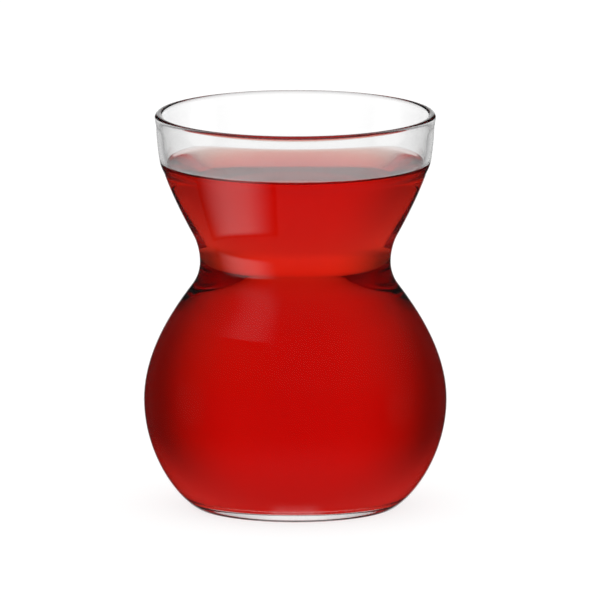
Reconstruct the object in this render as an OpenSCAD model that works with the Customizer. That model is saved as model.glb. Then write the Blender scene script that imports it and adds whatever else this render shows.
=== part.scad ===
// Waisted tea glass, filled with tea.
// A blown glass with a round belly, a narrow waist and a flared cone that ends in a short upright lip.
// Everything is turned about the Z axis. The foot stands on Z = 0 and +Z points up. Sizes are in millimetres.

/* [Belly] */
// Diameter of the foot, measured at its sharp corner before rounding
foot_d = 42.2; // [36:0.1:50]
// How far the wall leans out from upright where it leaves the foot, in degrees
foot_lean = 56.5; // [45:0.5:65]
// Widest diameter of the belly
belly_d = 62.7; // [54:0.1:76]
// Height of the widest place above the foot
belly_rise = 22.1; // [18:0.1:28]
// Fullness of the belly's curve, next to the foot, then just under and just over the widest place
belly_fullness = [0.20, 0.44, 0.41]; // [0.1:0.01:0.5]

/* [Waist] */
// Diameter of the waist
waist_d = 39.5; // [32:0.1:48]
// Height of the waist above the widest place of the belly
waist_rise = 28.8; // [24:0.1:36]
// Radius of the hollow curve below the waist, and the angle that it turns through
waist_low_r = 8.2; // [6:0.1:12]
waist_low_turn = 36.5; // [25:0.5:45]
// Radius of the hollow curve above the waist, and the angle that it turns through
waist_top_r = 12.6; // [9:0.1:16]
waist_top_turn = 28.5; // [20:0.5:35]

/* [Cone and lip] */
// Diameter at the soft crease where the cone turns into the lip
crease_d = 54.6; // [46:0.1:66]
// Height of the crease above the waist
crease_rise = 19.1; // [15:0.1:24]
// How far the wall leans out at the crease, in degrees
crease_lean = 24; // [15:1:30]
// Diameter of the lip just under its bead
lip_d = 57.6; // [50:0.1:69]
// Height of the rim above the crease
lip_rise = 12; // [9:0.1:15]
// How far the wall leans out just under the bead, in degrees
lip_lean = 3; // [0:0.5:8]
// How far the melted bead of the rim stands out past the wall
bead_out = 0.24; // [0.1:0.02:0.6]
// Height of the bead
bead_h = 2.8; // [2:0.1:3.5]

/* [Glass] */
// Thickness of the wall
wall_t = 1.4; // [1:0.1:2]
// Thickness of the bottom in its middle
floor_t = 2.3; // [1:0.1:3]
// Height of the hollow under the bottom, so that the glass stands on a ring
punt_h = 0.5; // [0.2:0.1:1]
// Width of the flat ring that the glass stands on
ring_w = 2.4; // [1.5:0.1:4]
// Radius of the rounded outer edge of the foot
foot_fillet = 1.5; // [0.5:0.1:2.5]
// Width of the rounded corner inside, between the bottom and the wall
heel_w = 5; // [2:0.1:6]

/* [Tea] */
// Depth of the tea's flat surface below the rim
free_depth = 10.6; // [8:0.1:25]
// How far the tea climbs up the wall
climb_h = 0.9; // [0.4:0.1:2.5]
// How quickly the climbing edge dies away towards the middle
climb_reach = 1.3; // [0.8:0.1:3]

/* [Hidden] */
$fn = 96;

// Steps along a long curve, along a short one and round the bead
long_steps = 18;
short_steps = 8;
bead_steps = 12;
// Share of a curve's chord that its handles take at the waist, the crease, the lip and the bead
belly_handle = 0.2;
cone_handle = 0.07;
waist_handle = 0.65;
crease_handle = 0.12;
lip_handle = 0.8;
bead_handle = 0.4;
// The climbing edge is followed for this many reaches, and the tea is level from there on
climb_span = 5;
// The first part of the wall, as a share of the belly's lower curve, that the inner corner replaces
heel_start = 0.28;

foot_r = foot_d / 2;
belly_r = belly_d / 2;
waist_r = waist_d / 2;
crease_r = crease_d / 2;
lip_r = lip_d / 2;
waist_z = belly_rise + waist_rise;
crease_z = waist_z + crease_rise;
rim_z = crease_z + lip_rise;
bead_r = (wall_t + bead_out) / 2;
bead_x = lip_r + bead_out - bead_r;
floor_z = punt_h + floor_t;
foot_run = foot_fillet * tan((90 - foot_lean) / 2);
ring_out = foot_r - foot_run;
ring_in = ring_out - ring_w;
tea_z = rim_z - free_depth;
climb_z = tea_z + climb_h;

// Direction of a wall that leans out from upright by angle a, as [radius, height]
function along(a) = [sin(a), cos(a)];

// A wall point is [radius, height, lean]. This one leads from p to q, with a lean and a fullness at each end.
function curve(p, lean_p, full_p, q, lean_q, full_q, steps) =
    let (chord = norm(q - p))
    let (a = p + full_p * chord * along(lean_p))
    let (b = q - full_q * chord * along(lean_q))
    [for (i = [0:steps])
        let (t = i / steps)
        let (s = 1 - t)
        let (v = s * s * s * p + 3 * s * s * t * a + 3 * s * t * t * b + t * t * t * q)
        let (d = s * s * (a - p) + 2 * s * t * (b - a) + t * t * (q - b))
        [v[0], v[1], atan2(d[0], d[1])]];

// Wall points on an arc that is hollow outside, about the waist, from one lean to another
function hollow_arc(radius, from, to, steps) =
    [for (i = [0:steps])
        let (a = from + (to - from) * i / steps)
        [waist_r + radius * (1 - cos(a)), waist_z + radius * sin(a), a]];

// Wall points on an arc that is round outside, about a centre, from one lean to another
function round_arc(centre, radius, from, to, steps) =
    [for (i = [0:steps])
        let (a = from + (to - from) * i / steps)
        [centre[0] + radius * cos(a), centre[1] - radius * sin(a), a]];

// A list without its first point, for a piece that runs on from the one before
function tail(list) = [for (i = [1:len(list) - 1]) list[i]];
function plain(list) = [for (p = list) [p[0], p[1]]];
function flipped(list) = [for (i = [len(list) - 1:-1:0]) list[i]];

foot_edge = round_arc([ring_out, foot_fillet], foot_fillet, 90, foot_lean, short_steps);
low_arc = hollow_arc(waist_low_r, -waist_low_turn, 0, short_steps);
top_arc = hollow_arc(waist_top_r, 0, waist_top_turn, short_steps);
foot_end = plain(foot_edge)[short_steps];
belly_end = [belly_r, belly_rise];
crease_end = [crease_r, crease_z];
lip_end = [lip_r, rim_z - bead_h];
bead_side = [bead_x + bead_r, rim_z - bead_r];

belly_low = curve(foot_end, foot_lean, belly_fullness[0], belly_end, 0, belly_fullness[1], long_steps);
belly_top = curve(belly_end, 0, belly_fullness[2], plain(low_arc)[0], -waist_low_turn, belly_handle, long_steps);
cone = curve(plain(top_arc)[short_steps], waist_top_turn, waist_handle,
    crease_end, crease_lean, cone_handle, short_steps);
lip = curve(crease_end, crease_lean, crease_handle, lip_end, lip_lean, lip_handle, long_steps);

// The wall from the end of the rounded foot to the bead, as [radius, height, lean]
wall = concat(belly_low, tail(belly_top), tail(low_arc), tail(top_arc), tail(cone), tail(lip));
bead_swell = plain(curve(lip_end, lip_lean, bead_handle, bead_side, 0, bead_handle, short_steps));
bead = plain(round_arc([bead_x, rim_z - bead_r], bead_r, 0, -180, bead_steps));

// The inside face lies one wall thickness in from the outside, square to it
inset = [for (p = wall) [p[0] - wall_t * cos(p[2]), p[1] + wall_t * sin(p[2]), p[2]]];
heel_skip = round(heel_start * long_steps);
heel_top = inset[heel_skip];
heel_flat = [heel_top[0] - heel_w, floor_z];
heel = plain(curve(heel_flat, 90, bead_handle, [heel_top[0], heel_top[1]], heel_top[2], bead_handle, short_steps));
inside = concat([[0, floor_z]], heel, plain([for (i = [heel_skip + 1:len(inset) - 1]) inset[i]]));

// The dome under the bottom is a shallow cap of this radius
punt_r = (ring_in * ring_in + punt_h * punt_h) / (2 * punt_h);
punt = [for (i = [0:short_steps])
    let (r = ring_in * i / short_steps)
    [r, punt_h - punt_r + sqrt(punt_r * punt_r - r * r)]];

// Radius of the inside face at a height, between the two points that lie about it
function inside_r(z) =
    let (k = [for (i = [1:len(inside) - 1]) if (inside[i][1] >= z && inside[i - 1][1] < z) i][0])
    let (share = (z - inside[k - 1][1]) / (inside[k][1] - inside[k - 1][1]))
    inside[k - 1][0] + share * (inside[k][0] - inside[k - 1][0]);

// Height of the tea's surface at a distance from the wall
function surface_z(gap) =
    let (last = exp(-climb_span))
    tea_z + climb_h * (exp(-gap / climb_reach) - last) / (1 - last);

module glass() {
    color([0.93, 0.95, 0.95, 0.35])
        rotate_extrude()
            polygon(concat(punt, plain(foot_edge), tail(plain(wall)), tail(bead_swell), tail(bead), flipped(inside)));
}

module tea() {
    edge_r = inside_r(climb_z);
    wetted = [for (p = inside) if (p[1] < climb_z) p];
    surface = [for (i = [0:bead_steps])
        let (gap = climb_span * climb_reach * pow(i / bead_steps, 2))
        [edge_r - gap, surface_z(gap)]];
    color([0.62, 0.05, 0.03, 0.9])
        rotate_extrude()
            polygon(concat(wetted, surface, [[0, tea_z]]));
}

glass();
tea();
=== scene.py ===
import math

import bpy
import numpy as np
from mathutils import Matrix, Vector


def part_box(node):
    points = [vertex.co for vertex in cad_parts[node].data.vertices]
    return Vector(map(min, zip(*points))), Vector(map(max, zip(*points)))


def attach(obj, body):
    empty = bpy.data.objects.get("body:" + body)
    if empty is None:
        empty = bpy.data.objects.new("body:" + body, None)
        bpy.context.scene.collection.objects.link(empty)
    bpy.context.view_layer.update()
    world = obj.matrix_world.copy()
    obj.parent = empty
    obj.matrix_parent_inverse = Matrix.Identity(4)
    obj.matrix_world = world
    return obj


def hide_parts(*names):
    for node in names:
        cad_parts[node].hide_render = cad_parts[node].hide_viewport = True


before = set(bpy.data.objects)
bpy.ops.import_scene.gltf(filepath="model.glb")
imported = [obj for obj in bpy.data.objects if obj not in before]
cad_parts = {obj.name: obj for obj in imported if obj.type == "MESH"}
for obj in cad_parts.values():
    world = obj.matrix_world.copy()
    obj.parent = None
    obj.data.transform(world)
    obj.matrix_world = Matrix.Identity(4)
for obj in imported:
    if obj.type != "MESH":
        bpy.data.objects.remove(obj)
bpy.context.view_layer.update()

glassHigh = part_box("glass")[1]
teaLow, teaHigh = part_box("tea")
mm = 0.001
print("frame loaded, height", round(glassHigh.z / mm, 2), "mm")

# The outline of the glass, turned about Z. Angles are in degrees.
glassShape = {
    "rim": glassHigh.z,
    "floor": teaLow.z,
    "wall": 1.4 * mm,
    "footRadius": 21.1 * mm,
    "footLean": 56.5,
    "footFillet": 1.5 * mm,
    "ringWidth": 2.4 * mm,
    "puntHeight": 0.5 * mm,
    "bellyRadius": glassHigh.x,
    "bellyRise": 22.1 * mm,
    "bellyFullness": (0.20, 0.44, 0.405),  # next to the foot, under the widest place, over it
    "waistRadius": 19.75 * mm,
    "waistRise": 28.8 * mm,
    "waistArcs": ((8.2 * mm, 36.5), (12.6 * mm, 28.5)),  # radius and turn, below and above
    "creaseRadius": 27.3 * mm,
    "creaseLean": 24,
    "lipRise": 12 * mm,
    "lipRadius": 28.8 * mm,
    "lipLean": 3,
    "beadOut": 0.24 * mm,
    "beadHeight": 2.8 * mm,
    "heelWidth": 5 * mm,
    "heelStart": 0.28,  # share of the belly's lower curve that the inner corner replaces
    # how far a curve's handles reach at its ends, as a share of its chord
    "handles": {"neck": 0.2, "waist": 0.65, "underCrease": 0.07, "overCrease": 0.12, "lip": 0.8,
                "round": 0.4},
    "steps": {"foot": 12, "belly": 40, "waist": 16, "cone": 24, "lip": 30, "swell": 12, "bead": 24,
              "heel": 14, "punt": 16},
    "turns": 192,
}


# Direction of a wall that leans out from upright, as (radius, height)
def along(lean):
    return np.array([math.sin(math.radians(lean)), math.cos(math.radians(lean))])


# A wall point is (radius, height, lean). A curve has a lean and a fullness at each end.
def curve(start, startLean, startFull, end, endLean, endFull, steps):
    start, end = np.array(start[:2]), np.array(end[:2])
    chord = np.linalg.norm(end - start)
    leave = start + startFull * chord * along(startLean)
    arrive = end - endFull * chord * along(endLean)
    points = []
    for i in range(steps + 1):
        t = i / steps
        s = 1 - t
        place = s ** 3 * start + 3 * s * s * t * leave + 3 * s * t * t * arrive + t ** 3 * end
        slope = s * s * (leave - start) + 2 * s * t * (arrive - leave) + t * t * (end - arrive)
        points.append((place[0], place[1], math.degrees(math.atan2(slope[0], slope[1]))))
    return points


def arc(centre, radius, first, last, steps, hollow=False):
    side = -1 if hollow else 1
    points = []
    for i in range(steps + 1):
        lean = first + (last - first) * i / steps
        sin, cos = along(lean)
        points.append((centre[0] + side * radius * cos, centre[1] - side * radius * sin, lean))
    return points


def outerWall(shape):
    steps = shape["steps"]
    handles = shape["handles"]
    waistZ = shape["bellyRise"] + shape["waistRise"]
    (lowRadius, lowTurn), (topRadius, topTurn) = shape["waistArcs"]
    fillet = shape["footFillet"]
    ringOut = shape["footRadius"] - fillet * math.tan(math.radians(90 - shape["footLean"]) / 2)
    foot = arc((ringOut, fillet), fillet, 90, shape["footLean"], steps["foot"])
    lowCentre = (shape["waistRadius"] + lowRadius, waistZ)
    topCentre = (shape["waistRadius"] + topRadius, waistZ)
    low = arc(lowCentre, lowRadius, -lowTurn, 0, steps["waist"], hollow=True)
    top = arc(topCentre, topRadius, 0, topTurn, steps["waist"], hollow=True)
    belly = (shape["bellyRadius"], shape["bellyRise"])
    crease = (shape["creaseRadius"], shape["rim"] - shape["lipRise"])
    lip = (shape["lipRadius"], shape["rim"] - shape["beadHeight"])
    nearFoot, under, over = shape["bellyFullness"]
    creaseLean = shape["creaseLean"]
    wall = curve(foot[-1], shape["footLean"], nearFoot, belly, 0, under, steps["belly"])
    wall += curve(belly, 0, over, low[0], -lowTurn, handles["neck"], steps["belly"])[1:]
    wall += low[1:]
    wall += top[1:]
    wall += curve(top[-1], topTurn, handles["waist"], crease, creaseLean, handles["underCrease"],
                  steps["cone"])[1:]
    wall += curve(crease, creaseLean, handles["overCrease"], lip, shape["lipLean"], handles["lip"],
                  steps["lip"])[1:]
    return foot, wall


# The underside, from the middle of the hollow out to the ring that the glass stands on
def footRing(shape, ringOut):
    ringIn = ringOut - shape["ringWidth"]
    height = shape["puntHeight"]
    capRadius = (ringIn ** 2 + height ** 2) / (2 * height)
    steps = shape["steps"]["punt"]
    points = []
    for i in range(steps):
        r = ringIn * i / steps
        points.append((r, height - capRadius + math.sqrt(capRadius ** 2 - r * r), 90))
    return points + [(ringIn, 0, 90)]


def glassSection(shape):
    foot, wall = outerWall(shape)
    steps = shape["steps"]
    roundHandle = shape["handles"]["round"]
    thick = shape["wall"]
    beadRadius = (thick + shape["beadOut"]) / 2
    beadX = shape["lipRadius"] + shape["beadOut"] - beadRadius
    beadZ = shape["rim"] - beadRadius
    beadSide = (beadX + beadRadius, beadZ)
    swell = curve(wall[-1], shape["lipLean"], roundHandle, beadSide, 0, roundHandle, steps["swell"])
    bead = arc((beadX, beadZ), beadRadius, 0, -180, steps["bead"])
    inset = [(r - thick * along(lean)[1], z + thick * along(lean)[0], lean) for r, z, lean in wall]
    skip = round(shape["heelStart"] * steps["belly"])
    top = inset[skip]
    flat = (top[0] - shape["heelWidth"], shape["floor"])
    heel = curve(flat, 90, roundHandle, top, top[2], roundHandle, steps["heel"])
    outside = footRing(shape, foot[0][0]) + foot + wall[1:] + swell[1:] + bead[1:]
    return outside, heel + inset[skip + 1:]


# A closed mesh of a section that runs from the axis to the axis, and the band that each face is in
def turned(name, section, turns):
    onAxis = 1e-9
    angles = [2 * math.pi * k / turns for k in range(turns)]
    verts = []
    rings = []
    for r, z in section:
        if r < onAxis:
            rings.append([len(verts)])
            verts.append((0, 0, z))
        else:
            rings.append(range(len(verts), len(verts) + turns))
            verts += [(r * math.cos(a), r * math.sin(a), z) for a in angles]
    faces = []
    bands = []
    for i, (lower, upper) in enumerate(zip(rings, rings[1:])):
        for k in range(turns):
            n = (k + 1) % turns
            if len(lower) == 1:
                faces.append((lower[0], upper[n], upper[k]))
            elif len(upper) == 1:
                faces.append((lower[k], lower[n], upper[0]))
            else:
                faces.append((lower[k], lower[n], upper[n], upper[k]))
            bands.append(i)
    piece = newPiece(name, verts, faces)
    piece.data.validate()
    piece.data.polygons.foreach_set("use_smooth", [True] * len(faces))
    return piece, bands


def newPiece(name, verts, faces):
    mesh = bpy.data.meshes.new(name)
    mesh.from_pydata(verts, [], faces)
    piece = bpy.data.objects.new(name, mesh)
    bpy.context.scene.collection.objects.link(piece)
    return piece


glassLook = {"ior": 1.51, "roughness": 0.0, "colour": (0.98, 0.98, 0.98, 1)}
teaLook = {
    "ior": 1.333,
    "perMetre": (11, 120, 155),  # how strongly the tea takes up red, green and blue
    "headroom": 1.05,  # keeps the volume's colour above black
}


def newMaterial(name):
    material = bpy.data.materials.new(name)
    material.use_nodes = True
    tree = material.node_tree
    tree.nodes.clear()
    return material, tree, tree.nodes.new("ShaderNodeOutputMaterial")


def clearShader(tree, ior, colour=(1, 1, 1, 1)):
    shader = tree.nodes.new("ShaderNodeBsdfGlass")
    shader.inputs["Color"].default_value = colour
    shader.inputs["Roughness"].default_value = glassLook["roughness"]
    shader.inputs["IOR"].default_value = ior
    return shader.outputs[0]


def glassMaterial():
    material, tree, out = newMaterial("clearGlass")
    tree.links.new(clearShader(tree, glassLook["ior"], glassLook["colour"]), out.inputs["Surface"])
    return material


# The wall behind the tea bends no light, because the tea's own side does that
def wettedMaterial():
    material, tree, out = newMaterial("wettedGlass")
    tree.links.new(clearShader(tree, 1.0), out.inputs["Surface"])
    return material


def teaMaterial():
    material, tree, out = newMaterial("blackTea")
    touch = tree.nodes.new("ShaderNodeAttribute")
    touch.attribute_name = "touchesGlass"
    mix = tree.nodes.new("ShaderNodeMixShader")
    tree.links.new(touch.outputs["Fac"], mix.inputs[0])
    tree.links.new(clearShader(tree, teaLook["ior"]), mix.inputs[1])
    tree.links.new(clearShader(tree, teaLook["ior"] / glassLook["ior"]), mix.inputs[2])
    tree.links.new(mix.outputs[0], out.inputs["Surface"])
    body = tree.nodes.new("ShaderNodeVolumeAbsorption")
    density = max(teaLook["perMetre"]) * teaLook["headroom"]
    body.inputs["Density"].default_value = density
    body.inputs["Color"].default_value = [1 - taken / density for taken in teaLook["perMetre"]] + [1]
    tree.links.new(body.outputs[0], out.inputs["Volume"])
    return material


outside, inside = glassSection(glassShape)
section = [(r, z) for r, z, lean in outside + inside[::-1]] + [(0, glassShape["floor"])]
glass, glassBands = turned("teaGlass", section, glassShape["turns"])
glass.data.materials.append(glassMaterial())
glass.data.materials.append(wettedMaterial())

teaShape = {
    "top": teaHigh.z,  # where the climbing edge meets the wall
    "topSlack": 0.02 * mm,  # the wall counts as wetted up to this far over it
    "intoWall": 0.12 * mm,
    "climb": 0.9 * mm,
    "reach": 1.3 * mm,  # how quickly the climb dies away
    "span": 5,  # the tea is level this many reaches from the wall
    "steps": 48,
}

wettedTop = teaShape["top"] + teaShape["topSlack"]
wetted = []
for i, (near, far) in enumerate(zip(section, section[1:])):
    wetted.append(1 if i >= len(outside) and max(near[1], far[1]) <= wettedTop else 0)
glass.data.polygons.foreach_set("material_index", [wetted[i] for i in glassBands])
print("glass turned,", len(glass.data.polygons), "faces")


# The side runs up the wall to the climbing edge, and the top from there to the axis
def teaSection(shape):
    into = shape["intoWall"]
    topZ = shape["top"]
    grown = [(r + into * along(lean)[1], z - into * along(lean)[0]) for r, z, lean in inside]
    side = [point for point in grown if point[1] < topZ]
    above = [point for point in grown if point[1] >= topZ][0]
    share = (topZ - side[-1][1]) / (above[1] - side[-1][1])
    edge = side[-1][0] + share * (above[0] - side[-1][0])
    side = [(0, side[0][1])] + side + [(edge, topZ)]
    level = topZ - shape["climb"]
    last = math.exp(-shape["span"])
    top = []
    for i in range(1, shape["steps"] + 1):
        gap = shape["span"] * shape["reach"] * (i / shape["steps"]) ** 2
        lift = (math.exp(-max(gap - into, 0) / shape["reach"]) - last) / (1 - last)
        top.append((edge - gap, level + shape["climb"] * max(lift, 0)))
    return side, top + [(0, level)]


teaSide, teaTop = teaSection(teaShape)
tea, teaBands = turned("tea", teaSide + teaTop, glassShape["turns"])
touches = tea.data.attributes.new("touchesGlass", "FLOAT", "FACE")
touches.data.foreach_set("value", [1.0 if i < len(teaSide) - 1 else 0.0 for i in teaBands])
tea.data.materials.append(teaMaterial())
print("tea turned,", len(tea.data.polygons), "faces")

for piece, node in ((glass, "glass"), (tea, "tea")):
    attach(piece, "root")
    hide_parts(node)

# The room, by direction: each fade is between two values of x, y or z of a unit vector
studio = {
    "surround": 0.25,  # the dim room that shows through the glass
    "above": 1.0,  # its upper half
    "riseFade": (0.05, 0.45),
    "front": 0.55,  # the half that the camera stands in
    "frontFade": (-0.7, -0.1),
    "wings": 0.8,  # small lit sweeps at the far left and right
    "wingFade": (0.93, 0.98),
    "behind": 1.1,  # the lit sweep behind the glass
    "backFade": (-0.2, 0.2),
    "sideFade": (0.15, 0.7),
    "topFade": (0.0, 0.6),
    "low": 0.6,  # how much of the sweep is left low down
    "lowFade": (-0.85, -0.2),
    "mirrored": 0.012,  # the dim room that the glass mirrors
    "table": 0.12,  # the table, mirrored low
    "tableFade": (-0.9, -0.3),
    "narrowFade": (0.1, 0.24),  # how wide the sweep is where it is mirrored
    "even": 1.0,  # what lights the floor
}


# Math nodes of one tree: each call adds a node and gives its output
class Sums:
    def __init__(self, tree):
        self.tree = tree

    def math(self, operation, *values):
        node = self.tree.nodes.new("ShaderNodeMath")
        node.operation = operation
        for socket, value in zip(node.inputs, values):
            if isinstance(value, (int, float)):
                socket.default_value = value
            else:
                self.tree.links.new(value, socket)
        return node.outputs[0]

    def product(self, first, *others):
        for value in others:
            first = self.math("MULTIPLY", first, value)
        return first

    def ramp(self, value, first, last, low=0.0, high=1.0):
        node = self.tree.nodes.new("ShaderNodeMapRange")
        node.interpolation_type = "SMOOTHSTEP"
        self.tree.links.new(value, node.inputs["Value"])
        for name, number in zip(("From Min", "From Max", "To Min", "To Max"), (first, last, low, high)):
            node.inputs[name].default_value = number
        return node.outputs["Result"]

    def split(self, vector):
        node = self.tree.nodes.new("ShaderNodeSeparateXYZ")
        self.tree.links.new(vector, node.inputs[0])
        return node.outputs

    # Where the factor is 1 the second value shows, and elsewhere the first
    def choose(self, factor, value, other):
        node = self.tree.nodes.new("ShaderNodeMix")
        node.data_type = "FLOAT"
        self.tree.links.new(factor, node.inputs["Factor"])
        self.tree.links.new(value, node.inputs["A"])
        if isinstance(other, float):
            node.inputs["B"].default_value = other
        else:
            self.tree.links.new(other, node.inputs["B"])
        return node.outputs[0]


def makeWorld():
    world = bpy.data.worlds.new("studio")
    bpy.context.scene.world = world
    world.use_nodes = True
    tree = world.node_tree
    tree.nodes.clear()
    sums = Sums(tree)
    ways = tree.nodes.new("ShaderNodeTexCoord")
    x, y, z = sums.split(ways.outputs["Generated"])
    across = sums.math("ABSOLUTE", x)
    # the lit sweep, and the dimmer room that shows where the sweep fades
    side = sums.ramp(across, *studio["sideFade"], 1, 0)
    back = sums.ramp(y, *studio["backFade"])
    top = sums.ramp(z, *studio["topFade"], 1, 0)
    low = sums.ramp(z, *studio["lowFade"], studio["low"], 1)
    lit = sums.product(side, back, top, low)
    around = sums.ramp(z, *studio["riseFade"], studio["surround"], studio["above"])
    front = sums.ramp(y, *studio["frontFade"], studio["front"], 0)
    wings = sums.ramp(across, *studio["wingFade"], 0, studio["wings"])
    around = sums.math("MAXIMUM", around, sums.math("MAXIMUM", front, wings))
    extra = sums.product(lit, sums.math("SUBTRACT", studio["behind"], around))
    through = sums.math("ADD", extra, around)
    # what the glass mirrors: a dim room, the table and a narrow part of the sweep
    dim = sums.ramp(z, *studio["tableFade"], studio["table"], studio["mirrored"])
    narrow = sums.product(sums.ramp(across, *studio["narrowFade"], 1, 0), back, top)
    mirrored = sums.math("MULTIPLY_ADD", narrow, studio["behind"], dim)
    rays = tree.nodes.new("ShaderNodeLightPath")
    shown = sums.choose(rays.outputs["Is Reflection Ray"], through, mirrored)
    shown = sums.choose(rays.outputs["Is Diffuse Ray"], shown, studio["even"])
    light = tree.nodes.new("ShaderNodeBackground")
    light.inputs["Color"].default_value = (1, 1, 1, 1)
    tree.links.new(shown, light.inputs["Strength"])
    out = tree.nodes.new("ShaderNodeOutputWorld")
    tree.links.new(light.outputs[0], out.inputs["Surface"])


floorLook = {"glow": 0.8, "colour": (0.28, 0.28, 0.28, 1), "size": 6.0, "drop": 0.02 * mm}


def makeFloor():
    half = floorLook["size"] / 2
    corners = [(-half, -half, 0), (half, -half, 0), (half, half, 0), (-half, half, 0)]
    floor = newPiece("stageFloor", corners, [(0, 1, 2, 3)])
    floor.location.z = -floorLook["drop"]
    material, tree, out = newMaterial("paleFloor")
    matt = tree.nodes.new("ShaderNodeBsdfDiffuse")
    matt.inputs["Color"].default_value = floorLook["colour"]
    glow = tree.nodes.new("ShaderNodeEmission")
    glow.inputs["Strength"].default_value = floorLook["glow"]
    both = tree.nodes.new("ShaderNodeAddShader")
    tree.links.new(matt.outputs[0], both.inputs[0])
    tree.links.new(glow.outputs[0], both.inputs[1])
    tree.links.new(both.outputs[0], out.inputs["Surface"])
    floor.data.materials.append(material)
    floor.visible_transmission = False
    floor.visible_glossy = False


# Cards at the front left that only mirrored rays see: a level one that shines up at the cone, and
# a dim upright one that the top of the belly shows. Each fade is (start of rise, full), (full, end).
cards = {
    "turns": ((-85, -50), (-42, -14)),  # degrees from the front, with the left negative
    "steps": 48,
    "levelHeight": 44 * mm,
    "levelRadii": ((31 * mm, 33 * mm), (70 * mm, 105 * mm)),
    "levelGlow": 1.3,
    "uprightRadius": 110 * mm,
    "uprightHeights": ((50 * mm, 125 * mm), (200 * mm, 240 * mm)),
    "uprightGlow": 0.3,
}


# A band between two ends, each a (radius, height), about the glass
def makeCard(name, ends):
    (first, _), (_, last) = cards["turns"]
    verts = []
    faces = []
    for i in range(cards["steps"] + 1):
        turn = math.radians(first + (last - first) * i / cards["steps"])
        verts += [(r * math.sin(turn), -r * math.cos(turn), z) for r, z in ends]
        if i:
            faces.append((2 * i - 2, 2 * i - 1, 2 * i + 1, 2 * i))
    card = newPiece(name, verts, faces)
    card.visible_camera = False
    card.visible_diffuse = False
    card.visible_transmission = False
    card.visible_volume_scatter = False
    card.visible_shadow = False
    return card


def cardMaterial(name, strength, fades, level):
    material, tree, out = newMaterial(name)
    sums = Sums(tree)
    place = tree.nodes.new("ShaderNodeNewGeometry")
    x, y, z = sums.split(place.outputs["Position"])
    turn = sums.math("ARCTAN2", x, sums.math("MULTIPLY", y, -1))
    turns = [[math.radians(angle) for angle in fade] for fade in cards["turns"]]
    distance = z
    if level:
        distance = sums.math("SQRT", sums.math("ADD", sums.product(x, x), sums.product(y, y)))
    glow = strength
    for value, (rise, fall) in ((turn, turns), (distance, fades)):
        glow = sums.product(sums.ramp(value, *rise), sums.ramp(value, *fall, 1, 0), glow)
    if level:
        glow = sums.product(sums.math("SUBTRACT", 1, place.outputs["Backfacing"]), glow)
    light = tree.nodes.new("ShaderNodeEmission")
    tree.links.new(glow, light.inputs["Strength"])
    tree.links.new(light.outputs[0], out.inputs["Surface"])
    return material


def makeCards():
    height = cards["levelHeight"]
    radii = cards["levelRadii"]
    level = makeCard("levelCard", ((radii[0][0], height), (radii[1][1], height)))
    level.data.materials.append(cardMaterial("levelCard", cards["levelGlow"], radii, level=True))
    radius = cards["uprightRadius"]
    heights = cards["uprightHeights"]
    upright = makeCard("uprightCard", ((radius, heights[0][0]), (radius, heights[1][1])))
    upright.data.materials.append(cardMaterial("uprightCard", cards["uprightGlow"], heights, level=False))


view = {
    "aim": (0.97 * mm, 0, 42.8 * mm),
    "distance": 4.0,
    "elevation": 10.3,  # degrees
    "width": 123.97 * mm,  # what the picture spans at the glass
    "sensor": 36,  # millimetres
    "farthest": 100,  # metres
}


def makeCamera():
    data = bpy.data.cameras.new("camera")
    camera = bpy.data.objects.new("camera", data)
    bpy.context.scene.collection.objects.link(camera)
    elevation = math.radians(view["elevation"])
    away = Vector((0, -math.cos(elevation), math.sin(elevation)))
    camera.location = Vector(view["aim"]) + view["distance"] * away
    camera.rotation_euler = (math.pi / 2 - elevation, 0, 0)
    data.sensor_width = view["sensor"]
    data.lens = view["sensor"] * view["distance"] / view["width"]
    data.clip_end = view["farthest"]
    bpy.context.scene.camera = camera


makeFloor()
makeCards()
makeWorld()
makeCamera()
print("stage, light and camera set")

bounces = {"all": 32, "mirrored": 12}  # light has to cross the wall and the tea many times
scene = bpy.context.scene
scene.view_settings.view_transform = "Standard"
scene.cycles.max_bounces = bounces["all"]
scene.cycles.transmission_bounces = bounces["all"]
scene.cycles.glossy_bounces = bounces["mirrored"]
